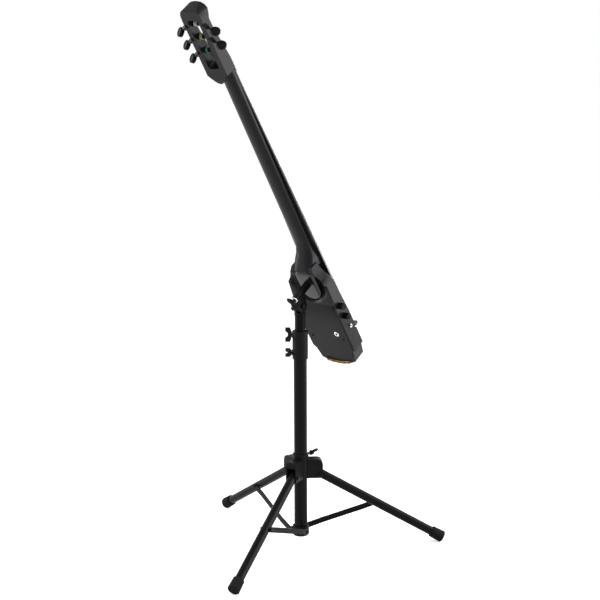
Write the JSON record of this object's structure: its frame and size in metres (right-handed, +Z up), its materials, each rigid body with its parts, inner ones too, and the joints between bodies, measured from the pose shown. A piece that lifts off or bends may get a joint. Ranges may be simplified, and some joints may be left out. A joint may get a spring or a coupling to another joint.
{
  "type": "electric cello on tripod stand",
  "caption": "Solid-body electric cello with geared tuners, bridge, taut strings and rear controls, held on a folding tripod stand with a sliding, swivelling and tilting mount.",
  "frame": {"origin": "on the floor, under the middle of the whole object's bounding box", "axes": "+Z up; +Y towards the back of the cello, where the player's side and the controls' cover are; -Y the side the strings face; +X the treble side"},
  "size_m": [0.5694, 0.5804, 1.2259],
  "materials": {
    "body_lacquer": "charcoal metallic lacquer, satin gloss",
    "black_wood": "oiled black",
    "nut_black": "polished",
    "black_metal": "satin black powder coat",
    "black_plastic": "fine grained",
    "foot_rubber": "matt",
    "bolt_steel": "plated",
    "string_steel": "flat wound",
    "anchor_brass": "satin",
    "circuit_board": "printed board",
    "chrome_trim": "polished"
  },
  "bodies": {
    "base": {"centre_tube": "black_metal", "strut_collar": "black_plastic"},
    "hub_body": {"hub": "black_plastic", "hub_bolt_1": "black_metal", "hub_bolt_2": "black_metal", "hub_bolt_3": "black_metal"},
    "leg_body_1": {"leg_1": "black_metal", "foot_1": "foot_rubber"},
    "leg_body_2": {"leg_2": "black_metal", "foot_2": "foot_rubber"},
    "leg_body_3": {"leg_3": "black_metal", "foot_3": "foot_rubber"},
    "strut_body_1": {"strut_1": "black_metal"},
    "strut_body_2": {"strut_2": "black_metal"},
    "strut_body_3": {"strut_3": "black_metal"},
    "hub_screw": {"hub_clamp_screw": "black_plastic"},
    "sleeve": {"clamp_sleeve": "black_plastic"},
    "sleeve_screw": {"sleeve_clamp_screw": "black_plastic"},
    "tube_screw": {"tube_clamp_screw": "black_plastic"},
    "post": {"inner_tube": "black_metal", "tilt_base": "black_metal", "tilt_bolt": "black_metal"},
    "tilt_wing": {"tilt_wing_nut": "black_plastic"},
    "cello": {"body": "body_lacquer", "neck": "body_lacquer", "fingerboard": "black_wood", "nut": "nut_black", "headstock": "body_lacquer", "bridge": "black_wood", "string_1": "string_steel", "string_2": "string_steel", "string_3": "string_steel", "string_4": "string_steel", "string_5": "string_steel", "string_anchor": "anchor_brass", "back_cover": "body_lacquer", "cover_screw_1": "black_metal", "cover_screw_2": "black_metal", "cover_screw_3": "black_metal", "cover_screw_4": "black_metal", "control_board": "circuit_board", "toggle_switch": "bolt_steel", "output_jack": "chrome_trim", "mount_block": "body_lacquer", "tilt_arm": "black_metal", "mount_ferrule": "chrome_trim"},
    "mount_screw_body": {"mount_screw": "black_metal"},
    "key_body_1": {"tuner_key_1": "black_metal"},
    "post_body_1": {"string_post_1": "black_metal"},
    "key_body_2": {"tuner_key_2": "black_metal"},
    "post_body_2": {"string_post_2": "black_metal"},
    "key_body_3": {"tuner_key_3": "black_metal"},
    "post_body_3": {"string_post_3": "black_metal"},
    "key_body_4": {"tuner_key_4": "black_metal"},
    "post_body_4": {"string_post_4": "black_metal"},
    "key_body_5": {"tuner_key_5": "black_metal"},
    "post_body_5": {"string_post_5": "black_metal"},
    "volume": {"volume_knob": "black_metal"},
    "tone": {"tone_knob": "black_metal"},
    "toggle": {"toggle_lever": "chrome_trim"}
  },
  "joints": [
    {"name": "hub_slide", "type": "slide", "parent": "base", "child": "hub_body", "axis": [0, 0, 1], "range_m": [0, 0.1928]},
    {"name": "leg_1_fold", "type": "hinge", "parent": "hub_body", "child": "leg_body_1", "pos_m": [-0.06784, -0.08216, 0.175], "axis": [0.6909, -0.723, 0], "range_deg": [0, 60.2]},
    {"name": "leg_2_fold", "type": "hinge", "parent": "hub_body", "child": "leg_body_2", "pos_m": [0.00284, -0.06493, 0.175], "axis": [0.2807, 0.9598, 0], "range_deg": [0, 60.2]},
    {"name": "leg_3_fold", "type": "hinge", "parent": "hub_body", "child": "leg_body_3", "pos_m": [-0.04742, -0.01234, 0.175], "axis": [-0.9715, -0.2368, 0], "range_deg": [0, 60.2]},
    {"name": "strut_1_fold", "type": "hinge", "parent": "base", "child": "strut_body_1", "pos_m": [-0.04615, -0.06143, 0.04], "axis": [-0.6909, 0.723, 0], "range_deg": [0, 60.86]},
    {"name": "strut_2_fold", "type": "hinge", "parent": "base", "child": "strut_body_2", "pos_m": [-0.02595, -0.05651, 0.04], "axis": [-0.2807, -0.9598, 0], "range_deg": [0, 60.86]},
    {"name": "strut_3_fold", "type": "hinge", "parent": "base", "child": "strut_body_3", "pos_m": [-0.04031, -0.04148, 0.04], "axis": [0.9715, 0.2368, 0], "range_deg": [0, 60.86]},
    {"name": "hub_screw_turn", "type": "hinge", "parent": "hub_body", "child": "hub_screw", "pos_m": [-0.03747, -0.05314, 0.2155], "axis": [-0.1045, -0.9945, 0], "range_deg": [0, 360]},
    {"name": "sleeve_swivel", "type": "hinge", "parent": "base", "child": "sleeve", "pos_m": [-0.03747, -0.05314, 0.47], "axis": [0, 0, 1], "continuous": true},
    {"name": "sleeve_screw_turn", "type": "hinge", "parent": "sleeve", "child": "sleeve_screw", "pos_m": [-0.03747, -0.05314, 0.456], "axis": [0.7716, 0.6361, 0], "range_deg": [0, 360]},
    {"name": "tube_screw_turn", "type": "hinge", "parent": "sleeve", "child": "tube_screw", "pos_m": [-0.03747, -0.05314, 0.497], "axis": [0.7716, 0.6361, 0], "range_deg": [0, 360]},
    {"name": "tube_slide", "type": "slide", "parent": "sleeve", "child": "post", "axis": [0, 0, 1], "range_m": [-0.03, 0.15]},
    {"name": "tilt_wing_turn", "type": "hinge", "parent": "post", "child": "tilt_wing", "pos_m": [-0.03747, -0.05314, 0.562], "axis": [1, 0, 0], "continuous": true},
    {"name": "cello_tilt", "type": "hinge", "parent": "post", "child": "cello", "pos_m": [-0.03747, -0.05314, 0.562], "axis": [1, 0, 0], "range_deg": [-40, 28]},
    {"name": "mount_screw_turn", "type": "hinge", "parent": "cello", "child": "mount_screw_body", "pos_m": [-0.03747, -0.03606, 0.5789], "axis": [0, 0.8358, -0.549], "continuous": true},
    {"name": "key_1_turn", "type": "hinge", "parent": "cello", "child": "key_body_1", "pos_m": [-0.01047, 0.23371, 1.12255], "axis": [0.8634, -0.277, -0.4217], "continuous": true},
    {"name": "post_1_turn", "type": "hinge", "parent": "cello", "child": "post_body_1", "pos_m": [-0.03747, 0.22201, 1.13024], "axis": [1, 0, 0], "continuous": true},
    {"name": "key_2_turn", "type": "hinge", "parent": "cello", "child": "key_body_2", "pos_m": [-0.01047, 0.25128, 1.14929], "axis": [0.8634, -0.277, -0.4217], "continuous": true},
    {"name": "post_2_turn", "type": "hinge", "parent": "cello", "child": "post_body_2", "pos_m": [-0.03747, 0.23958, 1.15698], "axis": [1, 0, 0], "continuous": true},
    {"name": "key_3_turn", "type": "hinge", "parent": "cello", "child": "key_body_3", "pos_m": [-0.01047, 0.2683, 1.17521], "axis": [0.8634, -0.277, -0.4217], "continuous": true},
    {"name": "post_3_turn", "type": "hinge", "parent": "cello", "child": "post_body_3", "pos_m": [-0.03747, 0.2566, 1.18289], "axis": [1, 0, 0], "continuous": true},
    {"name": "key_4_turn", "type": "hinge", "parent": "cello", "child": "key_body_4", "pos_m": [-0.06447, 0.2694, 1.17688], "axis": [-0.8634, -0.277, -0.4217], "continuous": true},
    {"name": "post_4_turn", "type": "hinge", "parent": "cello", "child": "post_body_4", "pos_m": [-0.03747, 0.2577, 1.18456], "axis": [-1, 0, 0], "continuous": true},
    {"name": "key_5_turn", "type": "hinge", "parent": "cello", "child": "key_body_5", "pos_m": [-0.06447, 0.25183, 1.15013], "axis": [-0.8634, -0.277, -0.4217], "continuous": true},
    {"name": "post_5_turn", "type": "hinge", "parent": "cello", "child": "post_body_5", "pos_m": [-0.03747, 0.24013, 1.15782], "axis": [-1, 0, 0], "continuous": true},
    {"name": "volume_turn", "type": "hinge", "parent": "cello", "child": "volume", "pos_m": [-0.09947, -0.11966, 0.55963], "axis": [-1, 0, 0], "range_deg": [-150, 150]},
    {"name": "tone_turn", "type": "hinge", "parent": "cello", "child": "tone", "pos_m": [-0.09947, -0.13586, 0.53498], "axis": [-1, 0, 0], "range_deg": [-150, 150]},
    {"name": "toggle_throw", "type": "hinge", "parent": "cello", "child": "toggle", "pos_m": [-0.10374, -0.15762, 0.50859], "axis": [0, 0.8358, -0.549], "range_deg": [-13, 13]}
  ],
  "couplings": [
    {"joint": "leg_1_fold", "follows": "hub_slide", "rad_per_m": 5.4491},
    {"joint": "leg_2_fold", "follows": "hub_slide", "rad_per_m": 5.4491},
    {"joint": "leg_3_fold", "follows": "hub_slide", "rad_per_m": 5.4491},
    {"joint": "strut_1_fold", "follows": "hub_slide", "rad_per_m": 5.5085},
    {"joint": "strut_2_fold", "follows": "hub_slide", "rad_per_m": 5.5085},
    {"joint": "strut_3_fold", "follows": "hub_slide", "rad_per_m": 5.5085},
    {"joint": "post_1_turn", "follows": "key_1_turn", "ratio": 0.0714},
    {"joint": "post_2_turn", "follows": "key_2_turn", "ratio": 0.0714},
    {"joint": "post_3_turn", "follows": "key_3_turn", "ratio": 0.0714},
    {"joint": "post_4_turn", "follows": "key_4_turn", "ratio": 0.0714},
    {"joint": "post_5_turn", "follows": "key_5_turn", "ratio": 0.0714}
  ]
}
